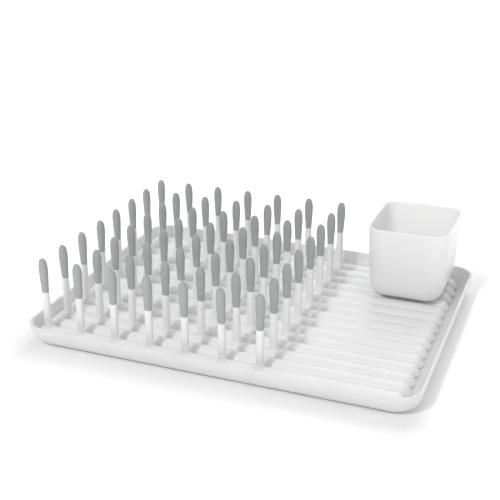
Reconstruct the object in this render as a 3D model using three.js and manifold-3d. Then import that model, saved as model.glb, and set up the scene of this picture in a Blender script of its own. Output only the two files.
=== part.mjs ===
// Bottle drying rack: a shallow drip tray, a ribbed rack of upright pegs that lies in it,
// a soft tip on every peg, and a loose cup for small parts.
// Millimetres, +Z up. The origin is the centre of the tray's underside, on the table.
// X runs along the length of the ribs, from the pegs to the open drying area.

import * as THREE from 'three';
import { mergeVertices } from 'three/addons/utils/BufferGeometryUtils.js';
import Module from 'manifold-3d';

const wasm = await Module();
wasm.setup();

// ---- driving dimensions ----

const CONTACT_GAP = 0.3; // between faces that rest on each other
const SIDE_CLEARANCE = 0.8; // between the rack's edge and the tray wall

const TRAY_LENGTH = 336;
const TRAY_WIDTH = 258;
const TRAY_HEIGHT = 19;
const TRAY_CORNER_RADIUS = 19; // at the rim's outer edge
const CORNER_SHRINK = 0.5; // radius lost in the corners for each millimetre further in
const TRAY_FLARE = 14; // how far the wall leans out between its foot and its rim
const WALL_THICKNESS = 2.2;
const FOOT_WIDTH = 9; // flat land round the underside that the tray stands on
const FOOT_DEPTH = 0.8;
const FLOOR_TOP = 3.2;

const PEG_COLUMNS = 7;
const PEG_ROWS = 8;
const COLUMN_PITCH = 32;
const ROW_PITCH = 31.5;
const FIRST_COLUMN_X = -153.2;

const RIB_PITCH = ROW_PITCH / 2;
const RIB_CREST = 11.5; // height of the rib crests above the table
const RIB_ROUNDNESS = 2.3; // exponent of the rib's crown: 2 is an ellipse
const VALLEY_HALF_WIDTH = 0.7;
const RACK_THICKNESS = 2;
const BORDER_START_X = FIRST_COLUMN_X - 6.3;
const GROOVE_START_X = FIRST_COLUMN_X - 1.4;
const GROOVE_END_LENGTH = 3.5; // over which a groove's closed end rises to the border
const VALLEY_END_X = 148;
const FINGER_END_X = 156.6;

const PEG_TOP = 75;
const TIP_LENGTH = 30;
const STEM_WIDTH = 6.2;
const STEM_FLARE = 1.9; // how far the stem's foot spreads where it grows out of the rib
const PEG_FLATNESS = 0.84; // depth over width of a peg's oval section
const CORE_WIDTH = 3.4;
const CORE_TOP = PEG_TOP - 9;
const TIP_WIDTH = 8;
const PEG_SIDES = 8;

const CUP_LENGTH = 73; // along X, at the rim
const CUP_WIDTH = 84; // along Y, at the rim
const CUP_TAPER = 3.5; // how much each side leans in from rim to base
const CUP_HEIGHT = 67.4;
const CUP_CORNER_RADIUS = 15;
const CUP_BASE_RADIUS = 14;
const CUP_WALL = 2;
const CUP_CENTRE_X = 117.2;
const CUP_CENTRE_Y = 82.5;

// ---- worked out from them ----

const RACK_UNDERSIDE = FLOOR_TOP + CONTACT_GAP;
const VALLEY_TOP = RACK_UNDERSIDE + RACK_THICKNESS;
const RIB_COUNT = 2 * PEG_ROWS - 1;
const FIRST_ROW_Y = (-ROW_PITCH * (PEG_ROWS - 1)) / 2;
const HALF_RIB = RIB_PITCH / 2;
const TIP_BOTTOM = PEG_TOP - TIP_LENGTH;
const STEM_TOP = TIP_BOTTOM - CONTACT_GAP;

// ---- materials ----

function plastic(colour, roughness) {
  return new THREE.MeshStandardMaterial({ color: colour, roughness, metalness: 0 });
}

const trayWhite = plastic(0xf0f1f1, 0.38);
const rackWhite = plastic(0xf2f3f3, 0.42);
const cupWhite = plastic(0xf1f2f2, 0.36);
const tipGrey = plastic(0xa9acad, 0.58);

// ---- geometry helpers ----

// Drops everything but position and merges shared corners, so that the skin is closed.
function weld(geometry) {
  const bare = new THREE.BufferGeometry();
  bare.setAttribute('position', geometry.getAttribute('position').clone());
  if (geometry.index) bare.setIndex(geometry.index.clone());
  const welded = mergeVertices(bare, 1e-4);
  welded.computeVertexNormals();
  return welded;
}

// A closed skin through rings that have the same number of points, capped at both ends.
function loft(rings) {
  const count = rings[0].length;
  const points = rings.flat();
  const faces = [];
  for (let level = 0; level + 1 < rings.length; level += 1) {
    for (let i = 0; i < count; i += 1) {
      const a = level * count + i;
      const b = level * count + ((i + 1) % count);
      faces.push(a, b, b + count, a, b + count, a + count);
    }
  }
  addCap(points, faces, 0, count, false);
  addCap(points, faces, (rings.length - 1) * count, count, true);
  const geometry = new THREE.BufferGeometry().setFromPoints(points);
  geometry.setIndex(faces);
  return weld(geometry);
}

// Fans a ring of points about its centre.
function addCap(points, faces, start, count, facingUp) {
  const centre = new THREE.Vector3();
  for (let i = 0; i < count; i += 1) centre.addScaledVector(points[start + i], 1 / count);
  const hub = points.push(centre) - 1;
  for (let i = 0; i < count; i += 1) {
    const a = start + i;
    const b = start + ((i + 1) % count);
    if (facingUp) faces.push(hub, a, b);
    else faces.push(hub, b, a);
  }
}

// A rounded rectangle, counter-clockwise seen from above.
function roundedRing(halfLength, halfWidth, radius, z, cornerSteps = 6) {
  const ring = [];
  for (let corner = 0; corner < 4; corner += 1) {
    const signX = corner === 0 || corner === 3 ? 1 : -1;
    const signY = corner < 2 ? 1 : -1;
    for (let step = 0; step <= cornerSteps; step += 1) {
      const angle = ((corner + step / cornerSteps) * Math.PI) / 2;
      const x = signX * (halfLength - radius) + radius * Math.cos(angle);
      const y = signY * (halfWidth - radius) + radius * Math.sin(angle);
      ring.push(new THREE.Vector3(x, y, z));
    }
  }
  return ring;
}

// A turned solid about +Z from a profile of [radius, height] that starts and ends on the axis.
function turned(profile, sides, flatness = 1) {
  const points = profile.map(([radius, height]) => new THREE.Vector2(radius, height));
  const geometry = new THREE.LatheGeometry(points, sides);
  geometry.rotateX(Math.PI / 2);
  geometry.rotateZ(Math.PI / sides);
  geometry.scale(1, flatness, 1);
  return weld(geometry);
}

function toSolid(geometry) {
  return new wasm.Manifold(new wasm.Mesh({
    numProp: 3,
    vertProperties: new Float32Array(geometry.getAttribute('position').array),
    triVerts: new Uint32Array(geometry.index.array),
  }));
}

function toGeometry(solid) {
  const mesh = solid.getMesh();
  const geometry = new THREE.BufferGeometry();
  geometry.setAttribute('position', new THREE.BufferAttribute(mesh.vertProperties, 3));
  geometry.setIndex(new THREE.BufferAttribute(mesh.triVerts, 1));
  geometry.computeVertexNormals();
  return geometry;
}

// ---- drip tray ----

// One level of the tray's flared wall, set in from the rim's outer edge.
function trayRing(inset, z) {
  const radius = TRAY_CORNER_RADIUS - CORNER_SHRINK * inset;
  return roundedRing(TRAY_LENGTH / 2 - inset, TRAY_WIDTH / 2 - inset, radius, z);
}

// Levels of the cavity from its rim to its floor, drawn in by a clearance.
function cavityRings(clearance) {
  const rings = [];
  const steps = 5;
  const depth = TRAY_HEIGHT - FLOOR_TOP;
  for (let step = 0; step <= steps; step += 1) {
    const angle = (step / steps) * (Math.PI / 2);
    const inset = WALL_THICKNESS + (TRAY_FLARE - 1) * (1 - Math.cos(angle));
    rings.push(trayRing(inset + clearance, TRAY_HEIGHT - depth * Math.sin(angle)));
  }
  return rings;
}

function dripTray() {
  const footOuter = TRAY_FLARE - 1.5;
  const footInner = footOuter + FOOT_WIDTH;
  const rings = [
    trayRing(footInner + 1, FOOT_DEPTH),
    trayRing(footInner, 0),
    trayRing(footOuter, 0),
  ];
  const steps = 5;
  for (let step = steps - 1; step >= 0; step -= 1) {
    const angle = (step / steps) * (Math.PI / 2);
    const inset = TRAY_FLARE * (1 - Math.cos(angle));
    rings.push(trayRing(inset, (TRAY_HEIGHT - 0.8) * (1 - Math.sin(angle))));
  }
  rings.push(trayRing(WALL_THICKNESS * 0.3, TRAY_HEIGHT));
  rings.push(...cavityRings(0));
  return loft(rings);
}

// ---- peg rack: ribbed sheet, finger ends and peg stems ----

// Height of a rounded crown at a distance from its crest.
function crown(distance, halfWidth, foot, crest) {
  const reach = Math.min(Math.abs(distance) / halfWidth, 1);
  return foot + (crest - foot) * (1 - reach ** RIB_ROUNDNESS) ** (1 / RIB_ROUNDNESS);
}

// Distance from the nearest groove's centre line, rounded about the groove's closed end.
function grooveDistance(x, y) {
  const fromFirst = (y - FIRST_ROW_Y) / RIB_PITCH;
  const across = HALF_RIB - Math.abs(fromFirst - Math.round(fromFirst)) * RIB_PITCH;
  const along = Math.max(0, 1 - (x - GROOVE_START_X) / GROOVE_END_LENGTH) * HALF_RIB;
  return Math.min(Math.hypot(across, along), HALF_RIB);
}

function sheetTop(x, y) {
  const fromCrest = HALF_RIB - grooveDistance(x, y);
  return crown(fromCrest, HALF_RIB - VALLEY_HALF_WIDTH, VALLEY_TOP, RIB_CREST);
}

function sheetUnderside(x, y) {
  const fromCrest = HALF_RIB - grooveDistance(x, y);
  const halfWidth = HALF_RIB - RACK_THICKNESS;
  return crown(fromCrest, halfWidth, RACK_UNDERSIDE, RIB_CREST - RACK_THICKNESS);
}

// The corrugated sheet: a flat border on the left, ribs to the right of it.
function ribbedSheet() {
  const xs = [BORDER_START_X, GROOVE_START_X];
  for (const share of [0.45, 1]) xs.push(GROOVE_START_X + GROOVE_END_LENGTH * share);
  xs.push(VALLEY_END_X);
  const offsets = [-1, -0.9, -0.74, -0.4, 0, 0.4, 0.74, 0.9];
  const ys = [];
  for (let rib = 0; rib < RIB_COUNT; rib += 1) {
    for (const offset of offsets) ys.push(FIRST_ROW_Y + rib * RIB_PITCH + offset * HALF_RIB);
  }
  ys.push(FIRST_ROW_Y + (RIB_COUNT - 1) * RIB_PITCH + HALF_RIB);

  const points = [];
  for (const surface of [sheetUnderside, sheetTop]) {
    for (const x of xs) {
      for (const y of ys) points.push(new THREE.Vector3(x, y, surface(x, y)));
    }
  }
  const layer = xs.length * ys.length;
  const index = (top, i, j) => (top ? layer : 0) + i * ys.length + j;
  const faces = [];
  const quad = (a, b, c, d) => faces.push(a, b, c, a, c, d);
  for (let i = 0; i + 1 < xs.length; i += 1) {
    for (let j = 0; j + 1 < ys.length; j += 1) {
      quad(index(1, i, j), index(1, i + 1, j), index(1, i + 1, j + 1), index(1, i, j + 1));
      quad(index(0, i, j), index(0, i, j + 1), index(0, i + 1, j + 1), index(0, i + 1, j));
    }
  }
  const lastX = xs.length - 1;
  const lastY = ys.length - 1;
  for (let i = 0; i < lastX; i += 1) {
    quad(index(0, i, 0), index(0, i + 1, 0), index(1, i + 1, 0), index(1, i, 0));
    quad(index(0, i + 1, lastY), index(0, i, lastY), index(1, i, lastY), index(1, i + 1, lastY));
  }
  for (let j = 0; j < lastY; j += 1) {
    quad(index(0, 0, j + 1), index(0, 0, j), index(1, 0, j), index(1, 0, j + 1));
    quad(index(0, lastX, j), index(0, lastX, j + 1), index(1, lastX, j + 1), index(1, lastX, j));
  }
  const geometry = new THREE.BufferGeometry().setFromPoints(points);
  geometry.setIndex(faces);
  return toSolid(weld(geometry));
}

// The end of one rib: it narrows and falls steeply to the tray's wall.
function fingerEnd(rib) {
  const overlap = 1;
  const startX = VALLEY_END_X - overlap;
  const steps = 5;
  const offsets = [0.9, 0.74, 0.4, 0, -0.4, -0.74, -0.9];
  const foot = HALF_RIB - VALLEY_HALF_WIDTH;
  const rings = [];
  for (let step = 0; step <= steps; step += 1) {
    const reach = Math.sin((step / steps) * Math.PI * 0.46);
    const narrow = Math.sqrt(1 - reach ** 2);
    const fall = 1 - reach ** 2;
    const outline = [[foot, 0]];
    for (const offset of offsets) {
      const across = offset * HALF_RIB;
      outline.push([across, crown(across, foot, VALLEY_TOP, RIB_CREST) - RACK_UNDERSIDE]);
    }
    outline.push([-foot, 0]);
    const x = startX + (FINGER_END_X - startX) * reach;
    const crestY = FIRST_ROW_Y + rib * RIB_PITCH;
    rings.push(outline.map(([across, rise]) => (
      new THREE.Vector3(x, crestY + across * narrow, RACK_UNDERSIDE + rise * fall))));
  }
  return toSolid(loft(rings));
}

// A peg's stem: flared where it grows out of the rib, then a tapered core inside the tip.
function stemGeometry() {
  const half = STEM_WIDTH / 2;
  const base = RIB_CREST - 1.2;
  const profile = [
    [0, base],
    [half + STEM_FLARE, base],
    [half + 0.3, RIB_CREST + 4],
    [half - 0.1, STEM_TOP],
    [CORE_WIDTH / 2, STEM_TOP],
    [0, CORE_TOP],
  ];
  return turned(profile, PEG_SIDES, PEG_FLATNESS);
}

function pegPosition(row, column) {
  return [FIRST_COLUMN_X + column * COLUMN_PITCH, FIRST_ROW_Y + row * ROW_PITCH, 0];
}

function pegRack() {
  let rack = ribbedSheet();
  for (let rib = 0; rib < RIB_COUNT; rib += 1) rack = rack.add(fingerEnd(rib));

  const cavity = cavityRings(SIDE_CLEARANCE).reverse();
  const above = trayRing(WALL_THICKNESS + SIDE_CLEARANCE, PEG_TOP);
  rack = rack.intersect(toSolid(loft([...cavity, above])));

  const stem = toSolid(stemGeometry());
  for (let row = 0; row < PEG_ROWS; row += 1) {
    for (let column = 0; column < PEG_COLUMNS; column += 1) {
      rack = rack.add(stem.translate(pegPosition(row, column)));
    }
  }
  return toGeometry(rack);
}

// ---- soft tip: round top, widest near the top, narrow at the joint, with a socket ----

function tipGeometry() {
  const half = TIP_WIDTH / 2;
  const socket = CORE_WIDTH / 2 + CONTACT_GAP;
  const profile = [
    [0, CORE_TOP + CONTACT_GAP * 3],
    [socket, TIP_BOTTOM],
    [STEM_WIDTH / 2, TIP_BOTTOM],
    [half * 0.84, TIP_BOTTOM + TIP_LENGTH * 0.36],
    [half, TIP_BOTTOM + TIP_LENGTH * 0.7],
    [half * 0.7, TIP_BOTTOM + TIP_LENGTH * 0.93],
    [0, PEG_TOP],
  ];
  return turned(profile, PEG_SIDES, PEG_FLATNESS);
}

// ---- cup ----

// One level of the cup, inset from the rim's outer edge.
function cupRing(inset, z, radius) {
  return roundedRing(CUP_LENGTH / 2 - inset, CUP_WIDTH / 2 - inset, radius, z, 4);
}

function cupGeometry() {
  const lean = (z) => CUP_TAPER * (1 - z / CUP_HEIGHT);
  const side = (z, inset, radius) => cupRing(lean(z) + inset, z, radius);
  const rings = [];
  const steps = 3;
  for (let step = 0; step <= steps; step += 1) {
    const angle = (step / steps) * (Math.PI / 2);
    const inset = CUP_BASE_RADIUS * (1 - Math.sin(angle));
    const z = CUP_BASE_RADIUS * (1 - Math.cos(angle));
    rings.push(side(z, inset, CUP_CORNER_RADIUS - inset));
  }
  rings.push(side(CUP_HEIGHT - 0.7, 0, CUP_CORNER_RADIUS));
  rings.push(side(CUP_HEIGHT, 0.6, CUP_CORNER_RADIUS - 0.6));
  rings.push(side(CUP_HEIGHT, CUP_WALL - 0.4, CUP_CORNER_RADIUS - CUP_WALL + 0.4));
  rings.push(side(CUP_HEIGHT - 0.7, CUP_WALL, CUP_CORNER_RADIUS - CUP_WALL));
  const innerRadius = CUP_BASE_RADIUS - CUP_WALL;
  for (let step = steps; step >= 0; step -= 1) {
    const angle = (step / steps) * (Math.PI / 2);
    const inset = CUP_WALL + innerRadius * (1 - Math.sin(angle));
    const z = CUP_WALL + innerRadius * (1 - Math.cos(angle));
    rings.push(side(z, inset, CUP_CORNER_RADIUS - inset));
  }
  return loft(rings);
}

// ---- assembly ----

function part(name, geometry, material) {
  const mesh = new THREE.Mesh(geometry, material);
  mesh.name = name;
  return mesh;
}

const dryingRack = new THREE.Group();
dryingRack.add(part('drip_tray', dripTray(), trayWhite));

const liftOut = new THREE.Group();
dryingRack.add(liftOut);
liftOut.add(part('peg_rack', pegRack(), rackWhite));

const tip = tipGeometry();
for (let row = 0; row < PEG_ROWS; row += 1) {
  for (let column = 0; column < PEG_COLUMNS; column += 1) {
    const mesh = part(`peg_tip_row${row + 1}_col${column + 1}`, tip, tipGrey);
    mesh.position.set(...pegPosition(row, column));
    liftOut.add(mesh);
  }
}

const cup = part('cup', cupGeometry(), cupWhite);
cup.position.set(CUP_CENTRE_X, CUP_CENTRE_Y, RIB_CREST + CONTACT_GAP);
liftOut.add(cup);

export default dryingRack;
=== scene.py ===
"""Looks of the bottle drying rack: a drip tray, a ribbed rack with pegs, soft tips and a cup.

Shapes are worked out in millimetres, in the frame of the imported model, and made in metres.
X runs along the ribs, Y from front to back, and Z is up from the table.
"""
import math
import random

import bpy
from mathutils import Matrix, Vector


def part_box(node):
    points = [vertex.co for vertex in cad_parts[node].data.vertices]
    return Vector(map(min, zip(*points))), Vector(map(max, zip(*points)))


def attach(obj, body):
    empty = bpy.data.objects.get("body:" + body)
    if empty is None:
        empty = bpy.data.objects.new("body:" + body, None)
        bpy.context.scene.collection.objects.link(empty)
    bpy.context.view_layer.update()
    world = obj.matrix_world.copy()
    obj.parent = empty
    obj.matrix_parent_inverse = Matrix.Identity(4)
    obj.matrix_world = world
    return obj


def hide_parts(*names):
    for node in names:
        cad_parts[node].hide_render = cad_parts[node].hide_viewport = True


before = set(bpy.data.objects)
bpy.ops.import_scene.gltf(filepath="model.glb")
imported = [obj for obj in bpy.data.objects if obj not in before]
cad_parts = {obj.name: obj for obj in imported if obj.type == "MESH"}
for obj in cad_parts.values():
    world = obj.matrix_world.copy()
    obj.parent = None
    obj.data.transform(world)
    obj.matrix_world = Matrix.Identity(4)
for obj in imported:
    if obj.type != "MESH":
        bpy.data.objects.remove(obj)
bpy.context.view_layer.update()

MM = 0.001

# ---- driving dimensions, in millimetres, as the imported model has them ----

CONTACT_GAP = 0.3
SIDE_CLEARANCE = 0.8

TRAY_CORNER_RADIUS = 19
CORNER_SHRINK = 0.5
TRAY_FLARE = 14
WALL_THICKNESS = 2.2
FOOT_WIDTH = 9
FOOT_DEPTH = 0.8
FLOOR_TOP = 3.2

PEG_COLUMNS = 7
PEG_ROWS = 8
COLUMN_PITCH = 32
ROW_PITCH = 31.5
FIRST_COLUMN_X = -153.2

RIB_PITCH = ROW_PITCH / 2
RIB_CREST = 11.5
RIB_ROUNDNESS = 2.3
VALLEY_HALF_WIDTH = 0.7
RACK_THICKNESS = 2
BORDER_START_X = FIRST_COLUMN_X - 6.3
GROOVE_START_X = FIRST_COLUMN_X - 1.4
GROOVE_END_LENGTH = 3.5
VALLEY_END_X = 148
FINGER_END_X = 156.6

STEM_WIDTH = 6.2
PEG_FLATNESS = 0.84
CORE_WIDTH = 3.4
CORE_DEPTH = 9  # of the core's end below the top of the tip
TIP_LENGTH = 30
TIP_WIDTH = 8

CUP_TAPER = 3.5
CUP_CORNER_RADIUS = 15
CUP_BASE_RADIUS = 14
CUP_WALL = 2

# ---- detail that only the looks have ----

CREASE_ANGLE = 40  # degrees; sharper edges than this stay crisp

TRAY_RIM_EDGE = 0.8
CUP_RIM_EDGE = 0.7

BORDER_CORNER = 3.5
EDGE_RADIUS = 0.6
EDGE_STEPS = (0, 0.08, 0.28, 0.6)
BORDER_SHARES = (0.4, 0.7, 1)
GROOVE_END_STEPS = 12
STRAIGHT_STEPS = 24
RIB_STEPS = 18
FINGER_STEPS = 10
FINGER_SWEEP = 0.49 * math.pi  # just short of a quarter turn, where a finger would shrink to nothing
FINGER_SLOPE = 0.01  # keeps a finger's top just above its foot
LEAST_THICKNESS = 0.8

PEG_SIDES = 24
STEM_SWELL = 0.35
STEM_FILLET = 2.8
STEM_EDGE = 0.4
TIP_WIDEST = 0.68  # share of the tip's length below its widest place
TIP_CROWN_ROUNDNESS = 2.4
LEAN_LIMIT = 0.7
LEAN_SEED = 7

TIP_DARK = (0.375, 0.386, 0.389)
TIP_LIGHT = (0.405, 0.416, 0.419)
FLOOR_DARK = (0.93, 0.93, 0.93)
FLOOR_LIGHT = (0.95, 0.95, 0.95)

# ---- the studio: lengths in metres, glow as emission strength ----

FLOOR_HALF_SIZE = 6.0
GLOW_START = 0.004
GLOW_FULL = 0.12
GLOW_NEAR = 0.05
GLOW_FAR = 0.5
LIGHT_DISTANCE = 2.4
LIGHT_TARGET = Vector((0, 0, 0.03))
CAMERA_TARGET = Vector((-0.03023, 0.04651, 0.040))
CAMERA_DISTANCE = 0.889

# ---- worked out from them and from the frame, in millimetres ----

TRAY_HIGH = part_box("drip_tray")[1] / MM
TRAY_HALF_LENGTH = TRAY_HIGH.x
TRAY_HALF_WIDTH = TRAY_HIGH.y
TRAY_HEIGHT = TRAY_HIGH.z
CUP_LOW, CUP_HIGH = (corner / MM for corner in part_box("cup"))
PEG_TOP = (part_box("peg_tip_row1_col1")[1] / MM).z

CAVITY_DEPTH = TRAY_HEIGHT - FLOOR_TOP
CAVITY_FLARE = TRAY_FLARE - 1
RACK_UNDERSIDE = FLOOR_TOP + CONTACT_GAP
VALLEY_TOP = RACK_UNDERSIDE + RACK_THICKNESS
RIB_COUNT = 2 * PEG_ROWS - 1
FIRST_ROW_Y = -ROW_PITCH * (PEG_ROWS - 1) / 2
HALF_RIB = RIB_PITCH / 2
RIB_FOOT = HALF_RIB - VALLEY_HALF_WIDTH
HALF_SHEET_WIDTH = HALF_RIB - FIRST_ROW_Y
TIP_BOTTOM = PEG_TOP - TIP_LENGTH
STEM_TOP = TIP_BOTTOM - CONTACT_GAP
CORE_TOP = PEG_TOP - CORE_DEPTH


# ---- mesh helpers ----

def make_piece(name, points, faces, material):
    """A smooth mesh object from points in millimetres."""
    mesh = bpy.data.meshes.new(name)
    mesh.from_pydata([(x * MM, y * MM, z * MM) for x, y, z in points], [], faces)
    mesh.validate()
    mesh.update()
    mesh.shade_smooth()
    mesh.set_sharp_from_angle(angle=math.radians(CREASE_ANGLE))
    mesh.materials.append(material)
    piece = bpy.data.objects.new(name, mesh)
    bpy.context.scene.collection.objects.link(piece)
    return piece


def quarter_turn(steps):
    """Angles from 0 to 90 degrees."""
    return [math.pi / 2 * step / steps for step in range(steps + 1)]


def loft(rings):
    """Points and faces of a closed skin through rings of equal length, capped at both ends."""
    count = len(rings[0])
    points = [point for ring in rings for point in ring]
    faces = []
    for level in range(len(rings) - 1):
        for i in range(count):
            a = level * count + i
            b = level * count + (i + 1) % count
            faces.append((a, b, b + count, a + count))
    last = (len(rings) - 1) * count
    faces.append(tuple(range(count - 1, -1, -1)))
    faces.append(tuple(range(last, last + count)))
    return points, faces


def rounded_ring(centre, half_length, half_width, radius, z, corner_steps):
    """A rounded rectangle, counter-clockwise seen from above."""
    ring = []
    for corner, (sign_x, sign_y) in enumerate(((1, 1), (-1, 1), (-1, -1), (1, -1))):
        for turn in quarter_turn(corner_steps):
            angle = corner * math.pi / 2 + turn
            x = centre[0] + sign_x * (half_length - radius) + radius * math.cos(angle)
            y = centre[1] + sign_y * (half_width - radius) + radius * math.sin(angle)
            ring.append((x, y, z))
    return ring


# ---- materials ----

def principled(name):
    material = bpy.data.materials.new(name)
    material.use_nodes = True
    return material, material.node_tree.nodes, material.node_tree.links


def noise(nodes, links, coordinates, scale, detail=3.0):
    texture = nodes.new("ShaderNodeTexNoise")
    texture.inputs["Scale"].default_value = scale
    texture.inputs["Detail"].default_value = detail
    links.new(coordinates.outputs["Object"], texture.inputs["Vector"])
    return texture.outputs["Fac"]


def spread(nodes, links, source, low, high):
    """Maps a noise of about 0.3 to 0.7 onto low to high."""
    remap = nodes.new("ShaderNodeMapRange")
    remap.inputs["From Min"].default_value = 0.3
    remap.inputs["From Max"].default_value = 0.7
    remap.inputs["To Min"].default_value = low
    remap.inputs["To Max"].default_value = high
    links.new(source, remap.inputs["Value"])
    return remap.outputs["Result"]


def tint(nodes, links, factor, dark, light):
    mix = nodes.new("ShaderNodeMix")
    mix.data_type = "RGBA"
    mix.inputs["A"].default_value = (*dark, 1)
    mix.inputs["B"].default_value = (*light, 1)
    links.new(factor, mix.inputs["Factor"])
    return mix.outputs["Result"]


def bump(nodes, links, height, strength, distance):
    node = nodes.new("ShaderNodeBump")
    node.inputs["Strength"].default_value = strength
    node.inputs["Distance"].default_value = distance
    links.new(height, node.inputs["Height"])
    return node.outputs["Normal"]


def near_white(level):
    """A white with a trace less red than green and blue."""
    return level, level + 0.002, level + 0.002


def white_plastic(name, level, roughness, milkiness, reach):
    """Satin moulded plastic with faint clouding and a fine skin. Light spreads `reach` mm inside it."""
    dark, light = near_white(level), near_white(level + 0.025)
    material, nodes, links = principled(name)
    shader = nodes["Principled BSDF"]
    coordinates = nodes.new("ShaderNodeTexCoord")
    clouds = noise(nodes, links, coordinates, 18)
    colour = tint(nodes, links, spread(nodes, links, clouds, 0, 1), dark, light)
    links.new(colour, shader.inputs["Base Color"])
    gloss = noise(nodes, links, coordinates, 60)
    rough = spread(nodes, links, gloss, roughness - 0.04, roughness + 0.05)
    links.new(rough, shader.inputs["Roughness"])
    skin = noise(nodes, links, coordinates, 2600, 2)
    links.new(bump(nodes, links, skin, 0.12, 0.0001), shader.inputs["Normal"])
    shader.inputs["Specular IOR Level"].default_value = 0.42
    shader.inputs["Subsurface Weight"].default_value = milkiness
    shader.inputs["Subsurface Radius"].default_value = (1, 0.98, 0.95)
    shader.inputs["Subsurface Scale"].default_value = reach * MM
    return material


def grey_rubber(name):
    """Soft-touch elastomer: matt, dusty at a grazing angle, with a fine grain."""
    material, nodes, links = principled(name)
    shader = nodes["Principled BSDF"]
    coordinates = nodes.new("ShaderNodeTexCoord")
    clouds = noise(nodes, links, coordinates, 90)
    factor = spread(nodes, links, clouds, 0, 1)
    links.new(tint(nodes, links, factor, TIP_DARK, TIP_LIGHT), shader.inputs["Base Color"])
    rough = spread(nodes, links, noise(nodes, links, coordinates, 240), 0.5, 0.62)
    links.new(rough, shader.inputs["Roughness"])
    grain = noise(nodes, links, coordinates, 5200, 2)
    links.new(bump(nodes, links, grain, 0.2, 0.0001), shader.inputs["Normal"])
    shader.inputs["Specular IOR Level"].default_value = 0.35
    return material


def distance_to_tray(nodes, links, coordinates):
    """How far a place on the floor lies outside the tray's rectangle, in metres."""
    socket = coordinates.outputs["Object"]
    half_sizes = (TRAY_HALF_LENGTH * MM, TRAY_HALF_WIDTH * MM, 0)
    steps = (("ABSOLUTE", None), ("SUBTRACT", half_sizes), ("MAXIMUM", (0, 0, 0)), ("LENGTH", None))
    for operation, operand in steps:
        node = nodes.new("ShaderNodeVectorMath")
        node.operation = operation
        links.new(socket, node.inputs[0])
        if operand is not None:
            node.inputs[1].default_value = operand
        socket = node.outputs["Value" if operation == "LENGTH" else "Vector"]
    return socket


def studio_floor(name):
    """A clean white table, overexposed further out, so that only shadows near the tray show."""
    material, nodes, links = principled(name)
    shader = nodes["Principled BSDF"]
    coordinates = nodes.new("ShaderNodeTexCoord")
    factor = spread(nodes, links, noise(nodes, links, coordinates, 6), 0, 1)
    colour = tint(nodes, links, factor, FLOOR_DARK, FLOOR_LIGHT)
    links.new(colour, shader.inputs["Base Color"])
    shader.inputs["Roughness"].default_value = 0.8
    shader.inputs["Emission Color"].default_value = (1, 1, 1, 1)
    glow = nodes.new("ShaderNodeMapRange")
    glow.inputs["From Min"].default_value = GLOW_START
    glow.inputs["From Max"].default_value = GLOW_FULL
    glow.inputs["To Min"].default_value = GLOW_NEAR
    glow.inputs["To Max"].default_value = GLOW_FAR
    links.new(distance_to_tray(nodes, links, coordinates), glow.inputs["Value"])
    links.new(glow.outputs["Result"], shader.inputs["Emission Strength"])
    return material


# The tray's white is set darker than the rack's white. This is partly the tray's own tone and partly
# painted shade for the dimmer light on its outward-leaning front wall.
TRAY_WHITE = white_plastic("tray_white", level=0.70, roughness=0.38, milkiness=0.6, reach=9)
RACK_WHITE = white_plastic("rack_white", level=0.84, roughness=0.42, milkiness=0.1, reach=4)
CUP_WHITE = white_plastic("cup_white", level=0.79, roughness=0.36, milkiness=0.9, reach=10)
TIP_GREY = grey_rubber("tip_grey")


# ---- drip tray ----

def corner_radius(inset):
    """Radius of the tray's corners, which tighten slowly from the rim inwards."""
    return TRAY_CORNER_RADIUS - CORNER_SHRINK * inset


def tray_ring(inset, z):
    """One level of the tray, set in from the rim's outer edge."""
    half_length = TRAY_HALF_LENGTH - inset
    half_width = TRAY_HALF_WIDTH - inset
    return rounded_ring((0, 0), half_length, half_width, corner_radius(inset), z, 20)


def tray_shell():
    """The wall sweeps out from the foot to a rim with softened edges, and down inside."""
    foot_outer = TRAY_FLARE - 1.5
    foot_inner = foot_outer + FOOT_WIDTH
    edge = TRAY_RIM_EDGE
    rings = [
        tray_ring(foot_inner + 1.4, FOOT_DEPTH),
        tray_ring(foot_inner + 0.9, FOOT_DEPTH - 0.1),
        tray_ring(foot_inner + 0.2, 0.1),
        tray_ring(foot_inner - 0.2, 0),
        tray_ring(foot_outer, 0),
    ]
    for angle in reversed(quarter_turn(16)[:-2]):
        inset = TRAY_FLARE * (1 - math.cos(angle))
        rings.append(tray_ring(inset, (TRAY_HEIGHT - edge) * (1 - math.sin(angle))))
    for angle in quarter_turn(4)[1:]:
        inset = edge * (1 - math.cos(angle))
        rings.append(tray_ring(inset, TRAY_HEIGHT - edge * (1 - math.sin(angle))))
    for angle in quarter_turn(4):
        inset = WALL_THICKNESS - edge * (1 - math.sin(angle))
        rings.append(tray_ring(inset, TRAY_HEIGHT - edge * (1 - math.cos(angle))))
    for angle in quarter_turn(16):
        z = TRAY_HEIGHT - CAVITY_DEPTH * math.sin(angle)
        if z < TRAY_HEIGHT - edge:
            rings.append(tray_ring(WALL_THICKNESS + CAVITY_FLARE * (1 - math.cos(angle)), z))
    points, faces = loft(rings)
    return make_piece("tray_shell", points, faces, TRAY_WHITE)


# ---- rack sheet: corrugated, with a flat border on the left and finger ends on the right ----

def crown(distance, half_width, foot, crest):
    """Height of a rounded crown at a distance from its crest."""
    reach = min(abs(distance) / half_width, 1)
    return foot + (crest - foot) * (1 - reach ** RIB_ROUNDNESS) ** (1 / RIB_ROUNDNESS)


def crest_distance(x, y):
    """Distance from the crest of the nearest rib, with the grooves' closed ends rounded."""
    from_first = (y - FIRST_ROW_Y) / RIB_PITCH
    across = HALF_RIB - abs(from_first - math.floor(from_first + 0.5)) * RIB_PITCH
    along = max(0, 1 - (x - GROOVE_START_X) / GROOVE_END_LENGTH) * HALF_RIB
    return HALF_RIB - min(math.hypot(across, along), HALF_RIB)


def sheet_top(x, y):
    return crown(crest_distance(x, y), RIB_FOOT, VALLEY_TOP, RIB_CREST)


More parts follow.
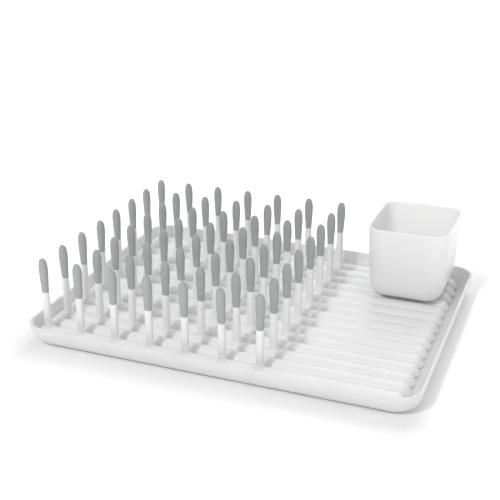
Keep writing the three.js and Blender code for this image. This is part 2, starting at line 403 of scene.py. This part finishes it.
def sheet_underside(x, y):
    half_width = HALF_RIB - RACK_THICKNESS
    return crown(crest_distance(x, y), half_width, RACK_UNDERSIDE, RIB_CREST - RACK_THICKNESS)


def inset_at(x, y):
    """How far a place lies inside the rim's outer edge, found by halving the range."""
    low, high = 0.0, TRAY_HALF_WIDTH / 2
    for _ in range(24):
        inset = (low + high) / 2
        radius = corner_radius(inset)
        corner_x = abs(x) - (TRAY_HALF_LENGTH - inset - radius)
        corner_y = abs(y) - (TRAY_HALF_WIDTH - inset - radius)
        outside = math.hypot(max(corner_x, 0), max(corner_y, 0)) + min(max(corner_x, corner_y), 0)
        if outside > radius:
            high = inset
        else:
            low = inset
        if low > WALL_THICKNESS + SIDE_CLEARANCE + CAVITY_FLARE:
            break  # further in, the tray's floor is flat
    return low


def wall_height(x, y):
    """Lowest height at which the rack clears the inside of the tray at this place."""
    share = (inset_at(x, y) - WALL_THICKNESS - SIDE_CLEARANCE) / CAVITY_FLARE
    cosine = 1 - min(max(share, 0), 1)
    return TRAY_HEIGHT - CAVITY_DEPTH * math.sqrt(1 - cosine ** 2)


def rib_profile():
    """Distances from the crest across one rib, closer together on its steep flanks."""
    offsets = []
    for step in range(RIB_STEPS + 1):
        angle = math.pi * step / RIB_STEPS
        reach = abs(math.cos(angle)) ** (2 / RIB_ROUNDNESS)
        offsets.append(-math.copysign(reach * RIB_FOOT, math.cos(angle)))
    return offsets


def border_edge(y):
    """X of the sheet's left edge, rounded at both corners."""
    beyond = min(max(abs(y) + BORDER_CORNER - HALF_SHEET_WIDTH, 0), BORDER_CORNER)
    return BORDER_START_X + BORDER_CORNER - math.sqrt(BORDER_CORNER ** 2 - beyond ** 2)


def sheet_stations(y):
    """X of every station along the sheet at one place across it, left to right."""
    left = border_edge(y)
    stations = [left + step for step in EDGE_STEPS]
    stations += [left + (GROOVE_START_X - left) * share for share in BORDER_SHARES]
    for angle in quarter_turn(GROOVE_END_STEPS)[1:]:
        stations.append(GROOVE_START_X + GROOVE_END_LENGTH * math.sin(angle))
    start = stations[-1]
    straight = VALLEY_END_X - start
    stations += [start + straight * step / STRAIGHT_STEPS for step in range(1, STRAIGHT_STEPS + 1)]
    return stations


def sheet_lines():
    """Y of every line of points along the sheet, front to back: valley middles and rib profiles."""
    profile = rib_profile()
    lines = []
    for rib in range(RIB_COUNT):
        crest = FIRST_ROW_Y + rib * RIB_PITCH
        lines.append(crest - HALF_RIB)
        lines += [crest + offset for offset in profile]
    lines.append(HALF_SHEET_WIDTH)
    return lines


def sheet_heights(x, y):
    """Underside and top of the sheet, cut back to clear the tray and softened at its left edge."""
    low = max(sheet_underside(x, y), wall_height(x, y))
    inward = EDGE_RADIUS - min(x - border_edge(y), EDGE_RADIUS)
    drop = EDGE_RADIUS - math.sqrt(EDGE_RADIUS ** 2 - inward ** 2)
    return low, max(sheet_top(x, y) - drop, low + LEAST_THICKNESS)


def sheet_faces(top, under):
    """Faces over, under and round the sheet, from point numbers by line and station."""
    faces = []
    last = len(top[0]) - 1
    for j in range(len(top) - 1):
        for i in range(last):
            faces.append((top[j][i], top[j][i + 1], top[j + 1][i + 1], top[j + 1][i]))
            faces.append((under[j][i], under[j + 1][i], under[j + 1][i + 1], under[j][i + 1]))
        faces.append((top[j][0], top[j + 1][0], under[j + 1][0], under[j][0]))
    for i in range(last):
        faces.append((under[0][i], under[0][i + 1], top[0][i + 1], top[0][i]))
        faces.append((under[-1][i + 1], under[-1][i], top[-1][i], top[-1][i + 1]))
    return faces


def add_valley_end(faces, top, under, j):
    """The upright face where half a valley floor stops, between two finger ends."""
    faces.append((top[j][-1], under[j][-1], under[j + 1][-1], top[j + 1][-1]))


def add_finger(points, faces, top, under, lines):
    """The end of the rib that spans these lines, which narrows and falls steeply to the tray's wall."""
    start = [points[top[j][-1]] for j in lines]
    first_y, last_y = start[0][1], start[-1][1]
    crest_y = (first_y + last_y) / 2
    outline = [(first_y, RACK_UNDERSIDE), *((y, z) for _, y, z in start), (last_y, RACK_UNDERSIDE)]
    row = [under[lines[0]][-1]] + [top[j][-1] for j in lines] + [under[lines[-1]][-1]]
    faces.append(tuple(under[j][-1] for j in lines))
    for step in range(1, FINGER_STEPS + 1):
        reach = math.sin(FINGER_SWEEP * step / FINGER_STEPS)
        fall = 1 - reach ** 2
        narrow = math.sqrt(fall)
        x = VALLEY_END_X + (FINGER_END_X - VALLEY_END_X) * reach
        next_row = []
        for start_y, start_z in outline:
            y = crest_y + (start_y - crest_y) * narrow
            rise = start_z - RACK_UNDERSIDE
            foot = max(RACK_UNDERSIDE, wall_height(x, y))
            next_row.append(len(points))
            points.append((x, y, max(foot + FINGER_SLOPE * rise, RACK_UNDERSIDE + rise * fall)))
        for k in range(len(row) - 1):
            faces.append((row[k], next_row[k], next_row[k + 1], row[k + 1]))
        faces.append((row[-1], next_row[-1], next_row[0], row[0]))
        row = next_row
    faces.append(tuple(row))


def rack_sheet():
    points = []
    top, under = [], []
    for y in sheet_lines():
        first = len(points)
        for x in sheet_stations(y):
            low, high = sheet_heights(x, y)
            points += [(x, y, low), (x, y, high)]
        under.append(range(first, len(points), 2))
        top.append(range(first + 1, len(points), 2))

    faces = sheet_faces(top, under)
    lines_per_rib = RIB_STEPS + 2
    for rib in range(RIB_COUNT):
        first = rib * lines_per_rib + 1
        final = first + RIB_STEPS
        add_valley_end(faces, top, under, first - 1)
        add_valley_end(faces, top, under, final)
        add_finger(points, faces, top, under, range(first, final + 1))
    return make_piece("rack_sheet", points, faces, RACK_WHITE)


# ---- pegs ----

def peg_places():
    """Row, column, place and lean of every peg. No two lean quite alike."""
    draw = random.Random(LEAN_SEED)
    places = []
    for row in range(PEG_ROWS):
        for column in range(PEG_COLUMNS):
            x = FIRST_COLUMN_X + column * COLUMN_PITCH
            y = FIRST_ROW_Y + row * ROW_PITCH
            lean = (draw.uniform(-LEAN_LIMIT, LEAN_LIMIT), draw.uniform(-LEAN_LIMIT, LEAN_LIMIT))
            places.append((row, column, x, y, lean))
    return places


def peg_ring(x, y, lean, radius, z):
    """An oval ring round the peg, moved sideways by the lean at its height."""
    share = max(0, (z - RIB_CREST) / (PEG_TOP - RIB_CREST))
    ring = []
    for side in range(PEG_SIDES):
        angle = 2 * math.pi * side / PEG_SIDES
        across = x + lean[0] * share + radius * math.cos(angle)
        along = y + lean[1] * share + radius * PEG_FLATNESS * math.sin(angle)
        ring.append((across, along, z))
    return ring


def stem_rings(x, y, lean):
    """A stem: a foot that follows the rib it grows from, the shaft, and the core in the tip."""
    half = STEM_WIDTH / 2
    sunk = 0.05
    rings = []
    for angle in quarter_turn(6):
        radius = half + STEM_SWELL + STEM_FILLET * (1 - math.sin(angle))
        rise = STEM_FILLET * (1 - math.cos(angle))
        settled = math.sin(angle) ** 2
        ring = []
        for px, py, _ in peg_ring(x, y, lean, radius, RIB_CREST):
            surface = sheet_top(px, py) * (1 - settled) + RIB_CREST * settled
            ring.append((px, py, surface + rise - sunk))
        rings.append(ring)
    low = RIB_CREST + STEM_FILLET
    high = STEM_TOP - STEM_EDGE
    for share in (0.25, 0.5, 0.75, 1):
        radius = half + STEM_SWELL * (1 - share)
        rings.append(peg_ring(x, y, lean, radius, low + (high - low) * share))
    rings.append(peg_ring(x, y, lean, half - 0.3 * STEM_EDGE, STEM_TOP - 0.25 * STEM_EDGE))
    rings.append(peg_ring(x, y, lean, half - STEM_EDGE, STEM_TOP))
    rings.append(peg_ring(x, y, lean, CORE_WIDTH / 2, STEM_TOP))
    rings.append(peg_ring(x, y, lean, 0.5, CORE_TOP - 4))
    return rings


def peg_stems(places):
    points, faces = [], []
    for _, _, x, y, lean in places:
        stem_points, stem_faces = loft(stem_rings(x, y, lean))
        start = len(points)
        points += stem_points
        faces += [tuple(start + i for i in face) for face in stem_faces]
    return make_piece("peg_stems", points, faces, RACK_WHITE)


def tip_radius(share):
    """Half width of a tip: narrow at the joint, widest at two thirds, with a round top."""
    half = TIP_WIDTH / 2
    narrow = STEM_WIDTH / TIP_WIDTH
    if share < TIP_WIDEST:
        swell = 0.5 - 0.5 * math.cos(math.pi * share / TIP_WIDEST)
        return half * (narrow + (1 - narrow) * swell ** 0.9)
    beyond = (share - TIP_WIDEST) / (1 - TIP_WIDEST)
    return half * max(0, 1 - beyond ** TIP_CROWN_ROUNDNESS) ** (1 / TIP_CROWN_ROUNDNESS)


def tip_rings(x, y, lean):
    """A tip's skin, from the end of its socket round the lower lip to the top."""
    socket = CORE_WIDTH / 2 + CONTACT_GAP
    lip = STEM_WIDTH / 2
    rings = [
        peg_ring(x, y, lean, 0.8, CORE_TOP - 2),
        peg_ring(x, y, lean, socket, TIP_BOTTOM),
        peg_ring(x, y, lean, lip - 0.35, TIP_BOTTOM),
        peg_ring(x, y, lean, lip - 0.08, TIP_BOTTOM + 0.12),
    ]
    shares = [TIP_WIDEST * step / 14 for step in range(1, 15)]
    shares += [TIP_WIDEST + (1 - TIP_WIDEST) * math.sin(angle) for angle in quarter_turn(11)[1:-1]]
    for share in shares:
        rings.append(peg_ring(x, y, lean, tip_radius(share), TIP_BOTTOM + TIP_LENGTH * share))
    rings.append(peg_ring(x, y, lean, 0.25, PEG_TOP - 0.01))
    return rings


def peg_tip(row, column, x, y, lean):
    points, faces = loft(tip_rings(x, y, lean))
    return make_piece(f"soft_tip_row{row + 1}_col{column + 1}", points, faces, TIP_GREY)


# ---- cup ----

def cup_shell():
    """A thin cup with a big radius round its base and a softened rim."""
    centre = ((CUP_LOW.x + CUP_HIGH.x) / 2, (CUP_LOW.y + CUP_HIGH.y) / 2)
    half_length = (CUP_HIGH.x - CUP_LOW.x) / 2
    half_width = (CUP_HIGH.y - CUP_LOW.y) / 2
    height = CUP_HIGH.z - CUP_LOW.z
    edge = CUP_RIM_EDGE
    straight = height - edge - CUP_BASE_RADIUS

    def ring(z, inset):
        drawn_in = CUP_TAPER * (1 - z / height) + inset
        radius = CUP_CORNER_RADIUS - inset
        return rounded_ring(
            centre, half_length - drawn_in, half_width - drawn_in, radius, CUP_LOW.z + z, 16)

    rings = []
    for angle in quarter_turn(10):
        z = CUP_BASE_RADIUS * (1 - math.cos(angle))
        rings.append(ring(z, CUP_BASE_RADIUS * (1 - math.sin(angle))))
    for share in (0.25, 0.5, 0.75):
        rings.append(ring(CUP_BASE_RADIUS + straight * share, 0))
    for angle in quarter_turn(4):
        rings.append(ring(height - edge * (1 - math.sin(angle)), edge * (1 - math.cos(angle))))
    for angle in quarter_turn(4):
        inset = CUP_WALL - edge * (1 - math.sin(angle))
        rings.append(ring(height - edge * (1 - math.cos(angle)), inset))
    inner = CUP_BASE_RADIUS - CUP_WALL
    for share in (0.75, 0.5, 0.25):
        rings.append(ring(CUP_BASE_RADIUS + straight * share, CUP_WALL))
    for angle in reversed(quarter_turn(10)):
        z = CUP_WALL + inner * (1 - math.cos(angle))
        rings.append(ring(z, CUP_WALL + inner * (1 - math.sin(angle))))
    points, faces = loft(rings)
    return make_piece("cup_shell", points, faces, CUP_WHITE)


# ---- camera, floor and lights ----

def direction(azimuth, elevation):
    """A unit vector, from degrees. Azimuth 0 is in front, and turns towards +X."""
    azimuth = math.radians(azimuth)
    elevation = math.radians(elevation)
    return Vector((
        math.cos(elevation) * math.sin(azimuth),
        -math.cos(elevation) * math.cos(azimuth),
        math.sin(elevation)))


def aim(thing, target, towards, distance):
    """Adds a camera or light to the scene, at a distance from its target and looking at it."""
    thing.location = target + towards * distance
    thing.rotation_euler = (-towards).to_track_quat("-Z", "Y").to_euler()
    bpy.context.scene.collection.objects.link(thing)


def add_camera(azimuth, elevation):
    """A long lens from the front, a little to the right and above."""
    data = bpy.data.cameras.new("camera")
    data.lens = 68.1
    data.sensor_width = 36
    camera = bpy.data.objects.new("camera", data)
    aim(camera, CAMERA_TARGET, direction(azimuth, elevation), CAMERA_DISTANCE)
    bpy.context.scene.camera = camera


def add_floor():
    half = FLOOR_HALF_SIZE
    mesh = bpy.data.meshes.new("floor")
    corners = [(-half, -half, 0), (half, -half, 0), (half, half, 0), (-half, half, 0)]
    mesh.from_pydata(corners, [], [(0, 1, 2, 3)])
    mesh.materials.append(studio_floor("floor_white"))
    floor = bpy.data.objects.new("floor", mesh)
    bpy.context.scene.collection.objects.link(floor)


def add_area_light(name, azimuth, elevation, size, power):
    """A square soft box aimed at the object."""
    data = bpy.data.lights.new(name, "AREA")
    data.shape = "SQUARE"
    data.size = size
    data.energy = power
    light = bpy.data.objects.new(name, data)
    aim(light, LIGHT_TARGET, direction(azimuth, elevation), LIGHT_DISTANCE)


def set_world(strength):
    world = bpy.data.worlds.new("studio")
    world.use_nodes = True
    background = world.node_tree.nodes["Background"]
    background.inputs["Color"].default_value = (1, 1, 1, 1)
    background.inputs["Strength"].default_value = strength
    bpy.context.scene.world = world


# ---- the whole ----

add_camera(azimuth=21.16, elevation=22.6)
add_floor()
set_world(strength=0.52)
add_area_light("key", azimuth=-13, elevation=43, size=0.2, power=18)
add_area_light("right_fill", azimuth=75, elevation=35, size=1.0, power=4.5)
add_area_light("low_back", azimuth=180, elevation=25, size=1.2, power=7)
add_area_light("high_back", azimuth=180, elevation=50, size=1.4, power=14)
bpy.context.scene.view_settings.view_transform = "Standard"
bpy.context.scene.view_settings.look = "None"

tray = tray_shell()
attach(tray, "tray")
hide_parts("drip_tray")

places = peg_places()
for piece in (rack_sheet(), peg_stems(places)):
    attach(piece, "rack")
    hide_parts("peg_rack")

for row, column, x, y, lean in places:
    tip = peg_tip(row, column, x, y, lean)
    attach(tip, "rack")
    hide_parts(f"peg_tip_row{row + 1}_col{column + 1}")

cup = cup_shell()
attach(cup, "cup")
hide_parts("cup")
